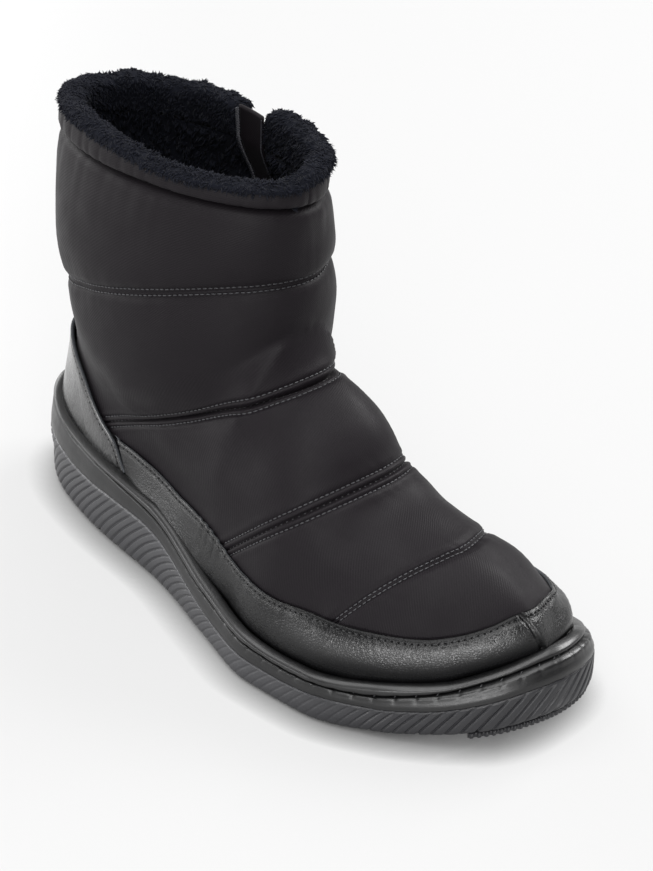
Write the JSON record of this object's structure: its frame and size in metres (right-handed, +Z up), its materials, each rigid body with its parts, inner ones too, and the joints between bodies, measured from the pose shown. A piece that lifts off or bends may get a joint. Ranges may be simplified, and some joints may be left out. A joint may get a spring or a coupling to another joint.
{
  "type": "padded winter ankle boot",
  "caption": "Padded winter ankle boot with quilted nylon upper, leather mudguard and heel counter, plush collar, side zip and ribbed rubber sole; right foot.",
  "frame": {"origin": "middle of the boot's box on the floor under the sole", "axes": "+X from heel to toe, +Y to the wearer's left (the zip side), +Z up"},
  "size_m": [0.275, 0.1084, 0.2033],
  "materials": {
    "sole_rubber": "matte, finely stippled",
    "wrap_leather": "smooth satin",
    "upper_leather": "pebbled satin",
    "shell_nylon": "woven, slight sheen",
    "pile_fur": "short plush pile",
    "lining_fabric": "napped",
    "zip_tape": "woven tape"
  },
  "bodies": {
    "root": {"outsole": "sole_rubber", "toe_tread": "sole_rubber", "platform": "wrap_leather", "welt_bead": "wrap_leather", "insole": "lining_fabric", "upper": "shell_nylon", "mudguard": "upper_leather", "heel_counter": "upper_leather", "collar_band": "shell_nylon", "collar_fur": "pile_fur", "zip_guard": "shell_nylon", "zip_tape": "zip_tape"}
  },
  "joints": []
}
